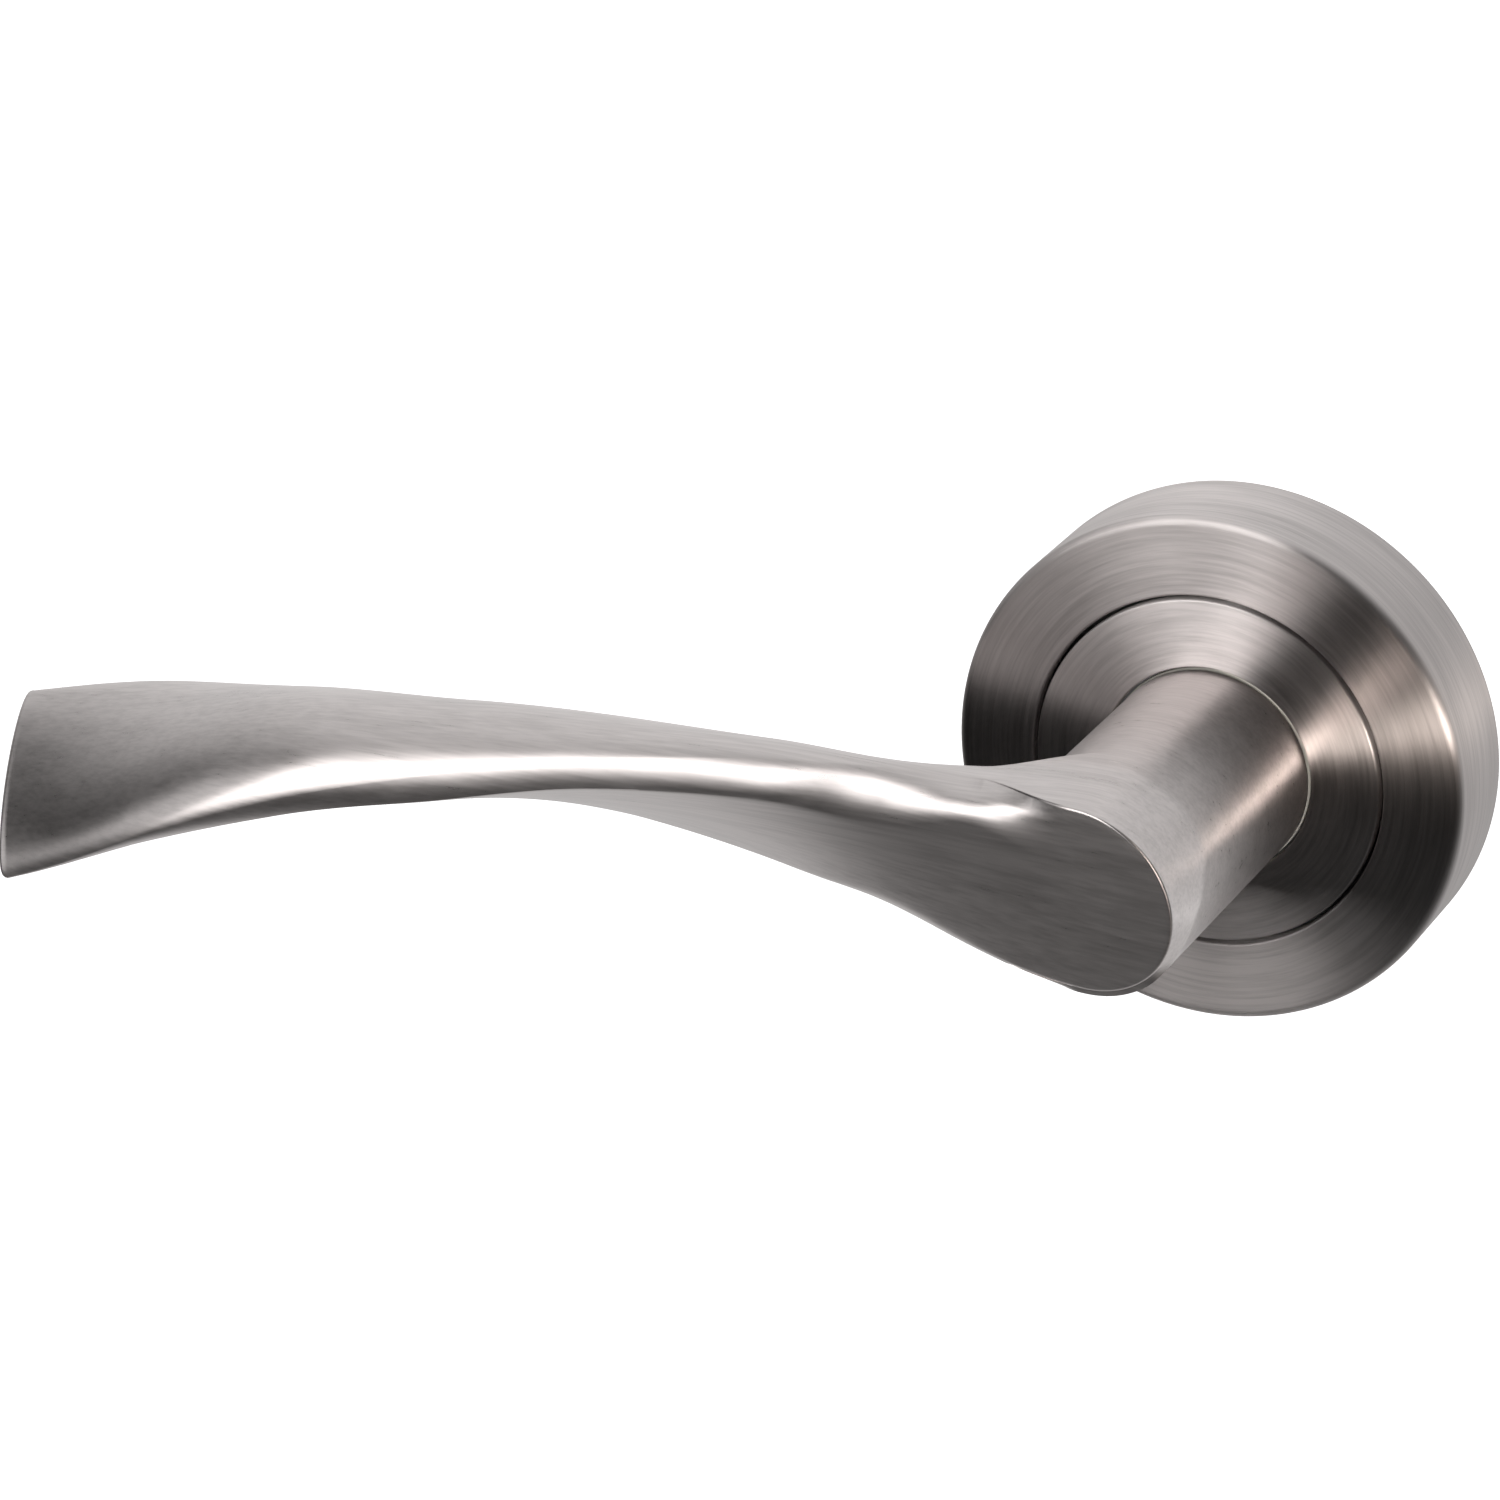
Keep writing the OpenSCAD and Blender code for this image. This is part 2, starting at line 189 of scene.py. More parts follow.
def boolean(target, tool, operation):
    """Applies a boolean with tool to target, and removes tool."""
    mod = target.modifiers.new("cut", "BOOLEAN")
    mod.operation = operation
    mod.object = tool
    mod.solver = "EXACT"
    depsgraph = bpy.context.evaluated_depsgraph_get()
    mesh = bpy.data.meshes.new_from_object(target.evaluated_get(depsgraph))
    target.modifiers.clear()
    target.data = mesh
    bpy.data.objects.remove(tool)


# ---------------------------------------------------------------- lever
def smooth_step(x):
    """Rises smoothly from 0 at x = 0 to 1 at x = 1."""
    x = np.clip(x, 0, 1)
    return x * x * (3 - 2 * x)


def design(w):
    """The nine design values at place w along SECTIONS, on a smooth curve, and their slopes per mm."""
    i = min(max(int(w), 0), SPANS - 1)
    f = w - i
    before = SECTIONS[i - 1] if i else 2 * SECTIONS[0] - SECTIONS[1]
    after = SECTIONS[i + 2] if i + 2 <= SPANS else 2 * SECTIONS[SPANS] - SECTIONS[SPANS - 1]
    a, b, c, d = before, SECTIONS[i], SECTIONS[i + 1], after
    square, cube = 2 * a - 5 * b + 4 * c - d, 3 * b - a - 3 * c + d
    value = 0.5 * (2 * b + (c - a) * f + square * f**2 + cube * f**3)
    slope = 0.5 * ((c - a) + 2 * square * f + 3 * cube * f**2)
    return value, slope / ARM_PITCH


def flattened(q, limit):
    """q, with its negative side held smoothly above -limit."""
    low = q < -1e-6
    out = q.copy()
    out[low] = -((-q[low]) ** -EDGE_SHARPNESS + limit**-EDGE_SHARPNESS) ** (-1 / EDGE_SHARPNESS)
    return out


def section(u, inset=0.0):
    """One closed section of the arm at distance u from the neck axis: top side, back, bottom, front."""
    values, slope = design(u / ARM_PITCH)
    height, depth, a, b, twist, flat, square, back_full, front_full = values
    a, b = a - inset, b - inset
    edge = math.asin(flat ** (front_full / 2))
    t = np.concatenate([
        np.linspace(-edge, 0, BAND_STEPS + 1)[:-1],
        SIDE_ANGLE * np.linspace(0, 1, SIDE_TOTAL + 1)[:-1] ** SIDE_BUNCHING,
        np.linspace(SIDE_ANGLE, math.pi - SIDE_ANGLE, BACK_STEPS + 1)[:-1],
        np.linspace(math.pi - SIDE_ANGLE, math.pi + edge, SIDE_TOTAL + 1),
        math.pi + edge + (math.pi / 2 - edge) * np.linspace(0, BAND_SHARE, BAND_STEPS + 1)[1:]])
    p = a * np.sign(np.cos(t)) * np.abs(np.cos(t)) ** (2 / square)
    power = np.where(np.sin(t) > 0, 2 / back_full, 2 / front_full)
    q = b * np.sign(np.sin(t)) * np.abs(np.sin(t)) ** power
    across = p[-1] + (p[0] - p[-1]) * (1 - front_spread()[1:-1]) / 2
    over = -b * (1 - np.minimum(np.abs(across) / a, 1) ** square) ** (1 / front_full)
    p = np.concatenate([p, across])
    q = flattened(np.concatenate([q, over]), flat * b)
    turn = math.radians(twist)
    dy = math.sin(turn) * p - math.cos(turn) * q
    dz = math.cos(turn) * p + math.sin(turn) * q
    return np.stack([slope[0] * dz - slope[1] * dy - u, -depth - dy, height + dz], -1)


def front_spread():
    """Places over the front from the bottom edge (1) to the top edge (-1), denser near the edges."""
    s = np.linspace(-1, 1, FRONT_STEPS + 1)
    return -np.sin(s * math.pi / 2) * FRONT_BUNCHING - s * (1 - FRONT_BUNCHING)


def face_depth(x, z):
    """Depth of the head's leaning, slightly crowned face."""
    return FACE_DEPTH + FACE_TURN * x + FACE_LEAN * z - (x * x + z * z) / (2 * FACE_CROWN)


def crease_depth(angle):
    """Depth of the crease where the head's tapered wall meets the round neck."""
    ring = face_depth(RING_R * math.cos(angle), RING_R * math.sin(angle)) - EDGE_R - CREASE_WALL
    share = float(smooth_step((CREASE_START - angle) / (CREASE_START - CREASE_END)))
    return CREASE_TOP + (ring - CREASE_TOP) * share


def inner_radius(angle):
    """Where the band inside the face starts: wide at the top, where the arm's ridge fades out."""
    return INNER_TOP + (INNER_BOTTOM - INNER_TOP) * float(smooth_step((1 - math.sin(angle)) / 2))


def wall_profile(angle):
    """(radius, depth) from inside the face over its edge and the head's wall and back along the neck."""
    rim, inner = RING_R - EDGE_R, inner_radius(angle)
    points = []
    for i in range(BAND_STEPS):
        r = inner + (rim - inner) * i / BAND_STEPS
        points.append((r, face_depth(r * math.cos(angle), r * math.sin(angle))))
    for i in range(SIDE_STEPS[0]):
        a = math.pi / 2 * i / SIDE_STEPS[0]
        r = rim + EDGE_R * math.sin(a)
        d = face_depth(r * math.cos(angle), r * math.sin(angle)) - EDGE_R * (1 - math.cos(a))
        points.append((r, d))
    ring = face_depth(RING_R * math.cos(angle), RING_R * math.sin(angle)) - EDGE_R
    crease = crease_depth(angle)
    for i in range(SIDE_STEPS[1]):
        f = i / SIDE_STEPS[1]
        points.append((RING_R + (NECK_R - RING_R) * f, ring + (crease - ring) * f))
    for i in range(SIDE_STEPS[2] + 1):
        points.append((NECK_R, crease + (HEAD_BACK - crease) * i / SIDE_STEPS[2]))
    return points


def head_section():
    """The section through the neck axis, point for point like section()."""
    top = [(0, -d, r) for r, d in wall_profile(math.pi / 2)]
    bottom = [(0, -d, -r) for r, d in wall_profile(-math.pi / 2)]
    back = [(0, -HEAD_BACK, NECK_R * (1 - 2 * i / BACK_STEPS)) for i in range(1, BACK_STEPS)]
    spread = -front_spread()[1:-1]
    front = [(0, -face_depth(0, z), z) for z in spread * np.where(spread > 0, INNER_TOP, INNER_BOTTOM)]
    return np.array(top + back + bottom[::-1] + front)


def arm_sections():
    """All sections from the neck axis to the tip, with a smooth root between head and arm."""
    step = 0.05
    far = section(ROOT_REACH)
    far_slope = (section(ROOT_REACH + step) - section(ROOT_REACH - step)) / (2 * step)
    near = head_section()
    near_slope = np.tile([-1.0, 0.0, 0.0], (len(near), 1))
    front = len(near) - FRONT_STEPS + 1
    face = BAND_STEPS + SIDE_STEPS[0]
    near_slope[front - face:, 1] = FACE_TURN
    near_slope[:face, 1] = FACE_TURN
    rings = []
    for f in np.linspace(0, 1, ROOT_STEPS + 1)[:-1]:
        h00, h10 = 2 * f**3 - 3 * f**2 + 1, f**3 - 2 * f**2 + f
        h01, h11 = 3 * f**2 - 2 * f**3, f**3 - f**2
        rings.append(h00 * near + h01 * far + ROOT_REACH * (h10 * near_slope + h11 * far_slope))
    for u in np.linspace(ROOT_REACH, ARM_REACH, ARM_STEPS + 1):
        rings.append(section(u))
    return rings


def tip_rings():
    """Rings that round the square-cut tip and crown its end, and the point that closes them."""
    ahead = np.array([-1.0, 0.0, 0.0])
    rings = []
    for i in range(1, TIP_STEPS + 1):
        a = math.pi / 2 * i / TIP_STEPS
        ring = section(ARM_REACH, inset=TIP_ROUND * (1 - math.cos(a)))
        rings.append(ring + ahead * TIP_ROUND * math.sin(a))
    base = rings[-1]
    centre = base.mean(0)
    for f in (0.75, 0.5, 0.25):
        rings.append(centre + (base - centre) * f + ahead * TIP_CROWN * (1 - f * f))
    return rings, centre + ahead * TIP_CROWN


def head_block():
    """Arm and head of the lever with the right half of its neck, as one closed mesh."""
    rings = arm_sections()
    ends, tip_point = tip_rings()
    rings += ends
    count = len(rings[0])
    points = [tuple(p) for ring in rings for p in ring]
    faces = []
    for i in range(len(rings) - 1):
        for k in range(count):
            n = (k + 1) % count
            faces.append((i * count + k, i * count + n, (i + 1) * count + n, (i + 1) * count + k))
    last = (len(rings) - 1) * count
    tip = len(points)
    points.append(tuple(tip_point))
    faces += [(last + k, last + (k + 1) % count, tip) for k in range(count)]

    # Right half: the face, the edge, the wall and the neck, from the top round to the bottom
    spread = -front_spread()
    fractions = np.array([0.0, *sorted(spread[spread > 1e-6])[:-1]])
    neck_depths = np.linspace(HEAD_BACK, NECK_BACK + 0.35, 12)[1:]
    start = len(points)
    for i in range(HEAD_STEPS + 1):
        angle = math.pi / 2 - math.pi * i / HEAD_STEPS
        c, s = math.cos(angle), math.sin(angle)
        line = [(r * c, -face_depth(r * c, r * s), r * s) for r in fractions * inner_radius(angle)]
        line += [(r * c, -d, r * s) for r, d in wall_profile(angle)]
        line += [(NECK_R * c, -d, NECK_R * s) for d in neck_depths]
        rows = len(line)
        points += line
    for i in range(HEAD_STEPS):
        for k in range(rows - 1):
            here = start + i * rows + k
            faces.append((here, here + rows, here + rows + 1, here + 1))
    # The hidden back of the half neck, and the inner wall through the axis
    faces.append([start + i * rows + rows - 1 for i in range(HEAD_STEPS + 1)])
    top = [start + rows - len(neck_depths) + k for k in range(len(neck_depths))]
    bottom = [k + HEAD_STEPS * rows for k in top]
    first = BAND_STEPS + SIDE_TOTAL
    back = list(range(first, first + BACK_STEPS + 1))
    faces.append(top + bottom[::-1] + back[::-1])
    mesh = mesh_from("head_block", points, faces)
    tidy(mesh, 2e-3)
    return mesh


def neck_tube(block):
    """Journals and neck, with a small fillet where the neck runs into the back of the arm. On the
    right, where the block has the half neck, the tube stays just inside it."""
    tree = BVHTree.FromPolygons(
        [v.co.copy() for v in block.vertices], [list(p.vertices) for p in block.polygons])
    points = []
    for i in range(NECK_STEPS):
        angle = 2 * math.pi * i / NECK_STEPS
        c, s = math.cos(angle), math.sin(angle)
        neck_r = NECK_R + 0.004 - 0.05 * float(smooth_step((c - 0.02) / 0.05))
        fillet = FILLET_R * float(smooth_step((-c - 0.55) / 0.3)) + 0.02
        reach = (neck_r + fillet) * MM
        origin = Vector((reach * c, -(HEAD_BACK - 12) * MM, reach * s))
        hit = tree.ray_cast(origin, Vector((0, -1, 0)))[0]
        depth = -hit.y / MM if hit and c < 0 else HEAD_BACK + 1.5
        depth = min(depth, HEAD_BACK + 3)
        line = [(0, 0.05), (REAR_JOURNAL_R - 0.2, 0.05), (REAR_JOURNAL_R, 0.25),
                (REAR_JOURNAL_R, GROOVE_BACK), (GROOVE_R, GROOVE_BACK),
                (GROOVE_R, GROOVE_FRONT), (REAR_JOURNAL_R, GROOVE_FRONT),
                (REAR_JOURNAL_R, CAM_FRONT), (JOURNAL_R, CAM_FRONT), (JOURNAL_R, NECK_BACK),
                (neck_r - 0.3, NECK_BACK), (neck_r, NECK_BACK + 0.3)]
        line += [(neck_r, d) for d in np.linspace(NECK_BACK + 0.3, depth - fillet, 14)[1:-1]]
        line += [(neck_r + fillet * (1 - math.cos(a)), depth - fillet + fillet * math.sin(a))
                 for a in np.linspace(0, math.pi / 2, 12)]
        line += [(neck_r + fillet * 0.7, depth + 0.5), (neck_r - 3, depth + 1), (0, HEAD_BACK + 4)]
        rows = len(line)
        points += [(r * c, -d, r * s) for r, d in line]
    faces = []
    for i in range(NECK_STEPS):
        j = (i + 1) % NECK_STEPS
        for k in range(rows - 1):
            faces.append((i * rows + k, j * rows + k, j * rows + k + 1, i * rows + k + 1))
    mesh = mesh_from("neck_tube", points, faces)
    tidy(mesh, 1e-3)
    return mesh


def grub_hole():
    """The cutter for the grub screw's hole, from below the neck to its axis."""
    bpy.ops.mesh.primitive_cylinder_add(
        vertices=64, radius=GRUB_R * MM, depth=(NECK_R + 1) * MM,
        location=(0, -GRUB_DEPTH * MM, -(NECK_R + 1) / 2 * MM))
    return bpy.context.active_object


def make_lever():
    """Arm, head, neck and journals in one piece, with the grub screw's hole."""
    block = head_block()
    tube = new_object("neck_tube", neck_tube(block))
    lever = new_object("lever_body", block)
    boolean(lever, tube, "UNION")
    boolean(lever, grub_hole(), "DIFFERENCE")
    tidy(lever.data, 1e-3)
    shade(lever.data, 28)
    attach(lever, "handle")
    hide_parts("lever")
    return lever


# ---------------------------------------------------------------- rose
def make_rose_cover():
    """The pressed cover: flat front ring, rounded edge and straight skirt."""
    back_r, front_r, hole_r, cove = 0.3, 0.9, 0.25, 0.6
    inside, ceiling = ROSE_R - COVER_WALL, ROSE_FRONT - COVER_WALL
    profile = [(inside, 0.2), (inside + 0.2, 0), (ROSE_R - back_r, 0)]
    profile += arc((ROSE_R - back_r, back_r), back_r, -90, 0, 4)[1:]
    profile += arc((ROSE_R - front_r, ROSE_FRONT - front_r), front_r, 0, 90, 12)
    profile += arc((COVER_HOLE_R + hole_r, ROSE_FRONT - hole_r), hole_r, 90, 180, 6)
    profile += [(COVER_HOLE_R, ceiling), (inside - cove, ceiling), (inside, ceiling - cove)]
    cover = new_object("rose_cover_shell", lathe("rose_cover_shell", profile))
    shade(cover.data)
    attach(cover, "cover")
    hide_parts("rose_cover")
    return cover


def make_face_disc():
    """The centre disc, with the rib on its back."""
    hole, hole_r, rim_r = NECK_R + 0.35, 0.2, 0.22
    rib_in, rib_out, plate = 15.45, 16.55, DISC_BACK + 0.5
    profile = arc((hole + hole_r, ROSE_FRONT - hole_r), hole_r, 180, 90, 6)
    profile += arc((DISC_R - rim_r, ROSE_FRONT - rim_r), rim_r, 90, 0, 6)
    profile += [(DISC_R, plate), (rib_out, plate), (rib_out, DISC_BACK), (rib_in, DISC_BACK),
                (rib_in, plate), (hole, plate)]
    disc = new_object("centre_disc", lathe("centre_disc", profile))
    shade(disc.data)
    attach(disc, "rose")
    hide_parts("face_disc")
    return disc


# ---------------------------------------------------------------- materials
class Nodes:
    """A small wrapper that makes and links the shader nodes of a material or a world."""

    def __init__(self, owner):
        owner.use_nodes = True
        self.owner = owner
        self.tree = owner.node_tree
        self.tree.nodes.clear()

    def add(self, kind, inputs=None, **settings):
        node = self.tree.nodes.new(kind)
        for key, value in settings.items():
            setattr(node, key, value)
        for key, value in (inputs or {}).items():
            socket = node.inputs[key]
            if isinstance(value, bpy.types.NodeSocket):
                self.tree.links.new(value, socket)
            else:
                socket.default_value = value
        return node

    def math(self, operation, a, b=0.0, c=0.0):
        return self.add("ShaderNodeMath", {0: a, 1: b, 2: c}, operation=operation).outputs[0]

    def vector(self, operation, a, b=(0, 0, 0)):
        node = self.add("ShaderNodeVectorMath", {0: a, 1: b}, operation=operation)
        return node.outputs["Value" if operation in ("LENGTH", "DOT_PRODUCT") else "Vector"]

    def ramp(self, value, stops):
        node = self.add("ShaderNodeValToRGB", {"Fac": value})
        band = node.color_ramp
        while len(band.elements) < len(stops):
            band.elements.new(0.5)
        for element, (place, colour) in zip(band.elements, stops):
            element.position = place
            element.color = (*colour, 1)
        return node.outputs["Color"]

    def noise(self, vector, scale, detail=3.0, roughness=0.55):
        return self.add("ShaderNodeTexNoise", {
            "Vector": vector, "Scale": scale, "Detail": detail, "Roughness": roughness}).outputs["Fac"]

    def output(self, shader, kind="ShaderNodeOutputMaterial"):
        self.add(kind, {"Surface": shader})
        return self.owner


def assign(obj, material):
    obj.data.materials.clear()
    obj.data.materials.append(material)


def place_in_object(n):
    """Texture place that moves with the piece, in metres."""
    return n.add("ShaderNodeTexCoord").outputs["Object"]


NICKEL = (0.66, 0.62, 0.61, 1)


def brushed_nickel(name, lines, groove_cross, roughness, anisotropy, streak, bump, dull):
    """Satin nickel. lines(n) gives the texture place, stretched along the brushing, and
    groove_cross(n) the direction across the brushing on the surface. streak is how much the
    roughness varies, bump the height of the lines in mm and dull the tone of the deepest ones."""
    n = Nodes(bpy.data.materials.new(name))
    place = lines(n)
    fine = n.noise(place, 1.0, 4.0, 0.6)
    broad = n.noise(place, 0.22, 2.0, 0.5)
    mixed = n.math("MULTIPLY_ADD", fine, 0.65, n.math("MULTIPLY", broad, 0.35))
    rough = n.math("MULTIPLY_ADD", n.math("SUBTRACT", mixed, 0.5), streak * roughness, roughness)
    dirt = n.noise(place_in_object(n), 900, 3.0, 0.6)
    pits = n.ramp(dirt, [(0.0, (0.45, 0.44, 0.43)), (0.26, (1, 1, 1))])
    tone = n.ramp(mixed, [(0.34, (dull, dull, dull)), (0.60, (1.0, 1.0, 1.0))])
    multiply = {"data_type": "RGBA", "blend_type": "MULTIPLY"}
    colour = n.add("ShaderNodeMix", {"Factor": 1.0, 6: tone, 7: NICKEL}, **multiply)
    colour = n.add("ShaderNodeMix", {"Factor": 0.5, 6: colour.outputs[2], 7: pits}, **multiply)
    raised = n.add("ShaderNodeBump", {"Height": mixed, "Strength": 1.0, "Distance": bump * MM})
    shader = n.add("ShaderNodeBsdfPrincipled", {
        "Base Color": colour.outputs[2], "Metallic": 1.0, "Roughness": rough, "Anisotropic": anisotropy,
        "Tangent": groove_cross(n), "Normal": raised.outputs["Normal"]})
    return n.output(shader.outputs["BSDF"])


FINE_LINES = 2600.0
RING_LINES = 2.2
ARM_LINES = 70.0


def polar_lines(n):
    """Rings about the spindle axis: fine across the radius and the depth, long round the axis."""
    place = n.add("ShaderNodeSeparateXYZ", {0: place_in_object(n)})
    x, y, z = (place.outputs[i] for i in range(3))
    flat = n.add("ShaderNodeCombineXYZ", {"X": x, "Z": z}).outputs[0]
    radius = n.vector("LENGTH", flat)
    way = n.add("ShaderNodeSeparateXYZ", {0: n.vector("NORMALIZE", flat)})
    return n.add("ShaderNodeCombineXYZ", {
        "X": n.math("MULTIPLY_ADD", radius, FINE_LINES, n.math("MULTIPLY", y, FINE_LINES)),
        "Y": n.math("MULTIPLY", way.outputs[0], RING_LINES),
        "Z": n.math("MULTIPLY", way.outputs[2], RING_LINES)}).outputs[0]


def around_axis(n):
    """Direction across grooves that run round the spindle axis."""
    place = place_in_object(n)
    around = n.vector("CROSS_PRODUCT", (0, 1, 0), place)
    normal = n.add("ShaderNodeNewGeometry").outputs["Normal"]
    return n.vector("NORMALIZE", n.vector("CROSS_PRODUCT", normal, around))


def arm_lines(n):
    """Long streaks along the arm."""
    return n.vector("MULTIPLY", place_in_object(n), (ARM_LINES, FINE_LINES, FINE_LINES))


def across_arm(n):
    """Direction across grooves that run along the arm."""
    normal = n.add("ShaderNodeNewGeometry").outputs["Normal"]
    return n.vector("NORMALIZE", n.vector("CROSS_PRODUCT", normal, (1, 0, 0)))


def plain_metal(name, colour, roughness, grain=400.0, strength=0.35):
    """Metal with a fine even grain, for the hidden pieces."""
    n = Nodes(bpy.data.materials.new(name))
    place = place_in_object(n)
    grit = n.noise(place, grain, 4.0, 0.6)
    cloud = n.noise(place, grain * 0.12, 3.0, 0.5)
    rough = n.math("MULTIPLY_ADD", cloud, 0.2, roughness - 0.1)
    tone = n.ramp(cloud, [(0.25, tuple(c * 0.8 for c in colour)), (0.75, colour)])
    raised = n.add("ShaderNodeBump", {"Height": grit, "Strength": strength, "Distance": 0.05 * MM})
    shader = n.add("ShaderNodeBsdfPrincipled", {
        "Base Color": tone, "Metallic": 1.0, "Roughness": rough, "Normal": raised.outputs["Normal"]})
    return n.output(shader.outputs["BSDF"])


def soft_plastic(name, colour, roughness, grain=500.0):
    """Matt plastic or rubber with a fine even grain."""
    n = Nodes(bpy.data.materials.new(name))
    place = place_in_object(n)
    grit = n.noise(place, grain, 4.0, 0.6)
    cloud = n.noise(place, grain * 0.1, 3.0, 0.5)
    tone = n.ramp(cloud, [(0.25, tuple(c * 0.85 for c in colour)), (0.75, colour)])
    raised = n.add("ShaderNodeBump", {"Height": grit, "Strength": 0.3, "Distance": 0.05 * MM})
    shader = n.add("ShaderNodeBsdfPrincipled", {
        "Base Color": tone, "Roughness": roughness, "Normal": raised.outputs["Normal"]})
    return n.output(shader.outputs["BSDF"])


# ---------------------------------------------------------------- stage
CAMERA_AZIMUTH = 24.976
CAMERA_ELEVATION = 22.907
CAMERA_DISTANCE = 582.785 * MM
CAMERA_AIM_RIGHT = -48.93 * MM
CAMERA_AIM_UP = -1.909 * MM
CAMERA_LENS = 142.12
FLOOR_SIZE, FLOOR_LEVEL = 6.0, -0.10

# Brightness of the room against how far a direction points backwards
UPPER_ROOM = [(-0.15, 0.012), (0.0, 0.2), (0.12, 0.4), (0.35, 0.65), (0.8, 0.9)]
LOWER_ROOM = [(-0.6, 0.05), (-0.25, 0.13), (0.05, 0.38), (0.35, 0.8), (0.8, 0.75)]
SOFT_WHITE = (1, 0.985, 0.975)
WARM_WHITE = (1, 0.90, 0.82)


def towards(azimuth, elevation):
    """Unit vector, with azimuth in degrees to the right of the front and elevation above the horizon."""
    a, e = math.radians(azimuth), math.radians(elevation)
    return Vector((math.sin(a) * math.cos(e), -math.cos(a) * math.cos(e), math.sin(e)))


def make_camera():
    az, el = math.radians(CAMERA_AZIMUTH), math.radians(CAMERA_ELEVATION)
    back = towards(CAMERA_AZIMUTH, CAMERA_ELEVATION)
    right = Vector((math.cos(az), math.sin(az), 0))
    up = back.cross(right)
    camera = new_object("camera", bpy.data.cameras.new("camera"))
    camera.data.lens = CAMERA_LENS
    camera.data.sensor_width = 36
    camera.data.clip_start = 0.01
    camera.data.clip_end = 20
    camera.location = back * CAMERA_DISTANCE + right * CAMERA_AIM_RIGHT + up * CAMERA_AIM_UP
    camera.rotation_euler = (math.pi / 2 - el, 0, az)
    bpy.context.scene.camera = camera


def make_floor():
    """A pale floor that throws light up but does not show in the metal."""
    mesh = bpy.data.meshes.new("floor")
    signs = ((-1, -1), (1, -1), (1, 1), (-1, 1))
    corners = [(x * FLOOR_SIZE, y * FLOOR_SIZE, FLOOR_LEVEL) for x, y in signs]
    mesh.from_pydata(corners, [], [(0, 1, 2, 3)])
    floor = new_object("floor", mesh)
    n = Nodes(bpy.data.materials.new("pale_floor"))
    diffuse = n.add("ShaderNodeBsdfDiffuse", {"Color": (0.9, 0.9, 0.9, 1)})
    glow = n.add("ShaderNodeEmission", {"Color": (1, 1, 1, 1), "Strength": 0.75})
    both = n.add("ShaderNodeAddShader", {0: diffuse.outputs[0], 1: glow.outputs[0]})
    assign(floor, n.output(both.outputs[0]))
    floor.visible_glossy = False


def make_world():
    """A studio room: pale behind and overhead, dark in front, with a table that fades out
    towards the front."""
    world = bpy.data.worlds.new("studio")
    bpy.context.scene.world = world
    n = Nodes(world)

    def tone(value, stops):
        """Grey that follows value, given as (value between -1 and 1, grey) stops."""
        halved = n.math("MULTIPLY_ADD", value, 0.5, 0.5)
        return n.ramp(halved, [(place / 2 + 0.5, (grey, grey, grey)) for place, grey in stops])

    way = n.add("ShaderNodeSeparateXYZ", {0: n.add("ShaderNodeTexCoord").outputs[0]})
    backwards, height = way.outputs[1], way.outputs[2]
    above = n.math("MAXIMUM", n.math("SUBTRACT", height, 0.5), 0.0)
    upper = tone(n.math("MULTIPLY_ADD", above, 1.2, backwards), UPPER_ROOM)
    lower = tone(backwards, LOWER_ROOM)
    share = n.add("ShaderNodeMapRange", {"Value": height, "From Min": -0.62, "From Max": -0.40},
                  interpolation_type="SMOOTHSTEP")
    mix = n.add("ShaderNodeMix", data_type="RGBA")
    for key, value in ((0, share.outputs[0]), (6, lower), (7, upper)):
        n.tree.links.new(value, mix.inputs[key])
    shader = n.add("ShaderNodeBackground", {"Color": mix.outputs[2], "Strength": 1.0})
    n.output(shader.outputs[0], "ShaderNodeOutputWorld")


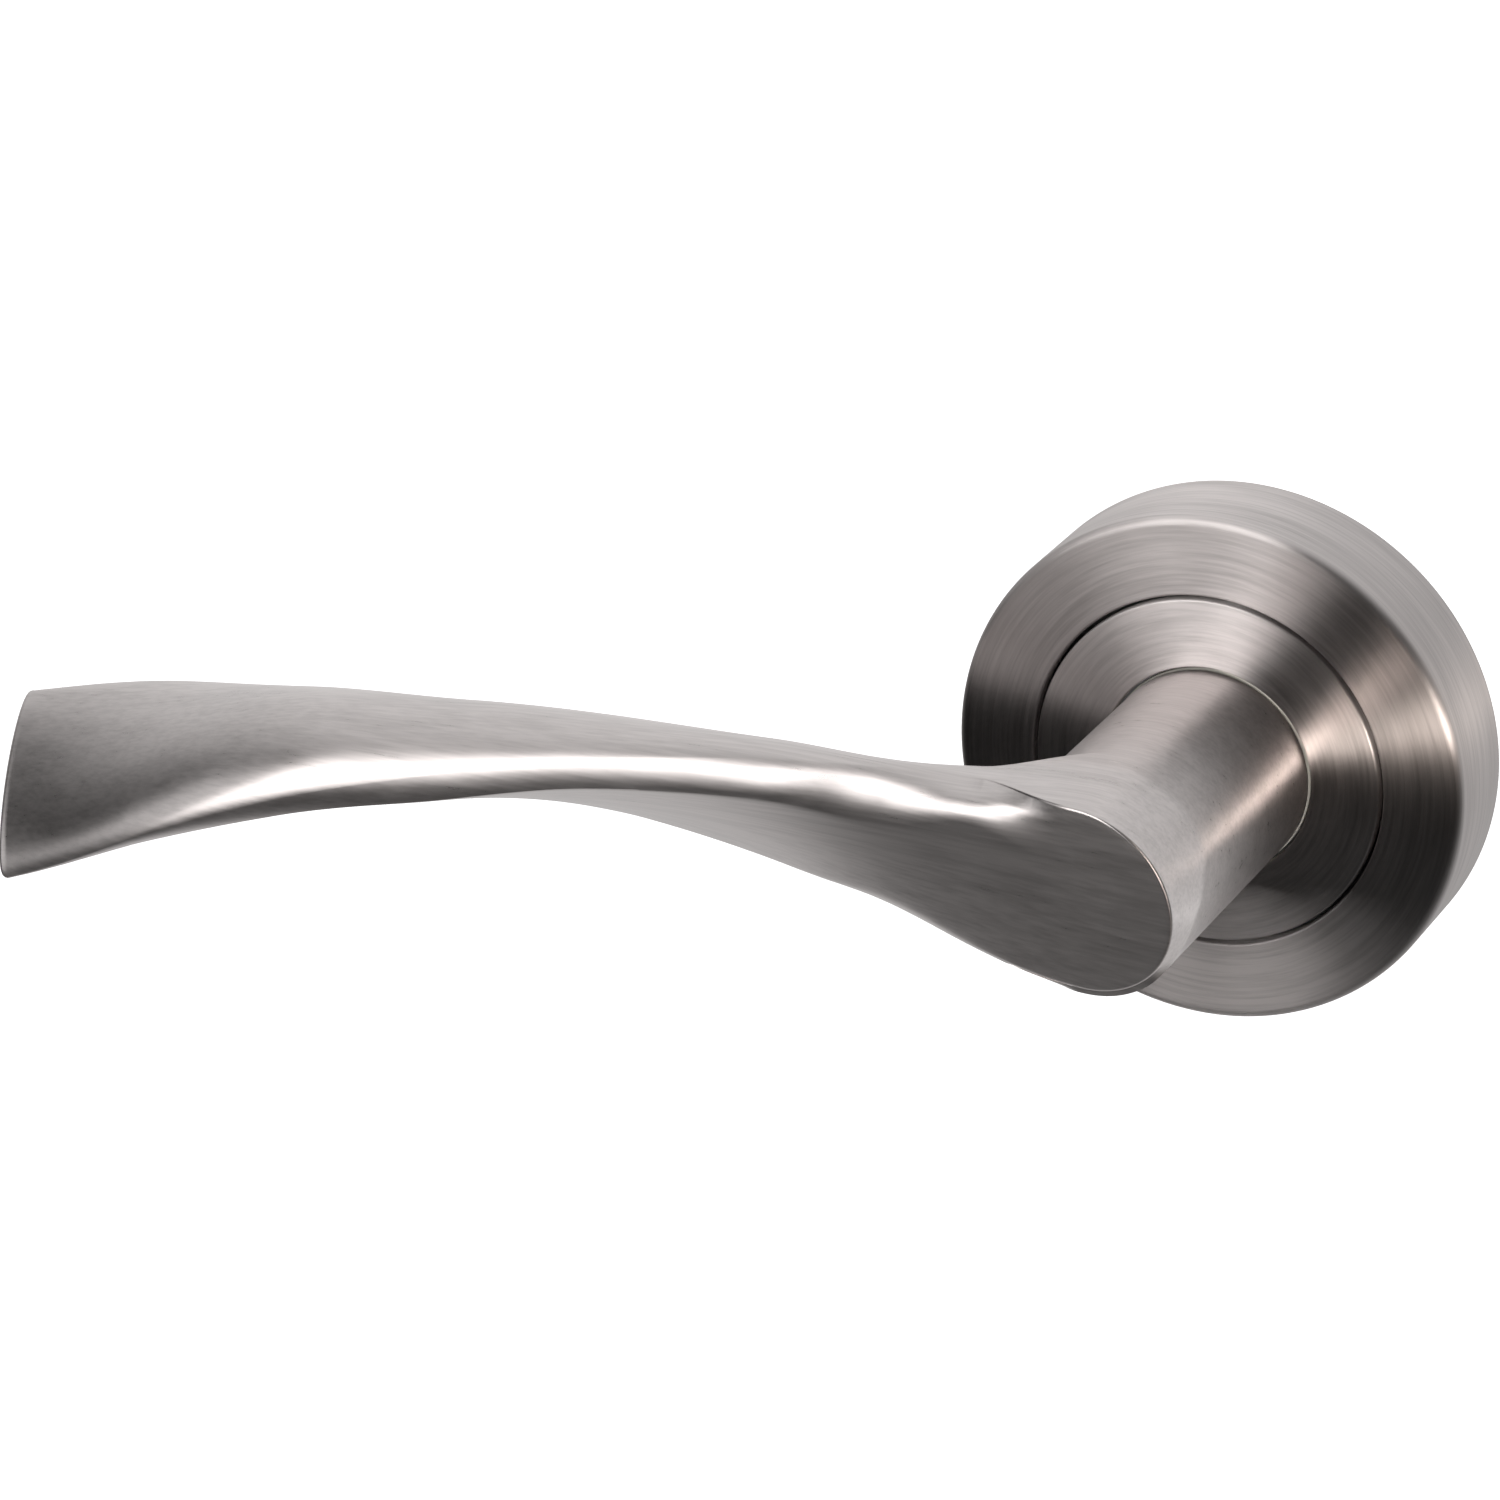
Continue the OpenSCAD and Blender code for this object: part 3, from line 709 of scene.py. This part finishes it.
def panel(name, distance, azimuths, elevations, radiance, colour=(1, 1, 1)):
    """A soft box that faces the spindle axis and covers a range of azimuths and elevations from
    there. radiance is how bright it looks in a reflection."""
    azimuth, elevation = sum(azimuths) / 2, sum(elevations) / 2
    wide = 2 * distance * math.tan(math.radians(azimuths[1] - azimuths[0]) / 2)
    wide *= math.cos(math.radians(elevation))
    tall = 2 * distance * math.tan(math.radians(elevations[1] - elevations[0]) / 2)
    data = bpy.data.lights.new(name, "AREA")
    data.shape = "RECTANGLE"
    data.size, data.size_y = wide, tall
    data.energy = radiance * math.pi * wide * tall
    data.color = colour
    light = new_object(name, data)
    way = towards(azimuth, elevation)
    light.location = way * distance
    light.rotation_euler = way.to_track_quat("Z", "Y").to_euler()


def make_lights():
    panel("left_box", 2.0, (-46, -20), (2, 44), 3.1, SOFT_WHITE)
    panel("side_box", 2.0, (-66, -44), (-3, 30), 0.8)
    panel("front_box", 2.0, (-20, -5), (2, 46), 3.0, SOFT_WHITE)
    panel("warm_box", 1.0, (18, 46), (-6, -2), 27.0, WARM_WHITE)
    panel("right_box", 1.5, (15, 50), (6, 20), 0.3)


# ---------------------------------------------------------------- build
bpy.context.scene.view_settings.view_transform = "Standard"
make_camera()
make_floor()
make_world()
make_lights()
lever = make_lever()
cover = make_rose_cover()
disc = make_face_disc()

rose_nickel = brushed_nickel("nickel_turned", polar_lines, around_axis, 0.36, 1.0, 0.4, 0.016, 0.72)
arm_nickel = brushed_nickel("nickel_brushed", arm_lines, across_arm, 0.29, 0.8, 0.35, 0.008, 0.80)
assign(cover, rose_nickel)
assign(disc, rose_nickel)
assign(lever, arm_nickel)

FINISHES = {
    "zinc_plated": plain_metal("zinc_plate", (0.62, 0.64, 0.67), 0.3),
    "dark_steel": plain_metal("black_oxide", (0.10, 0.10, 0.11), 0.42),
    "spring_steel": plain_metal("oiled_spring", (0.36, 0.36, 0.38), 0.28),
    "zinc_casting": plain_metal("cast_zinc", (0.52, 0.53, 0.55), 0.5, 250.0, 0.7),
    "nylon": soft_plastic("natural_nylon", (0.80, 0.79, 0.72), 0.45),
    "black_rubber": soft_plastic("matt_rubber", (0.02, 0.02, 0.02), 0.7),
}
for part in frame["record"]["subparts"]:
    if part["material_slot"] in FINISHES:
        assign(nodes[part["node"]], FINISHES[part["material_slot"]])
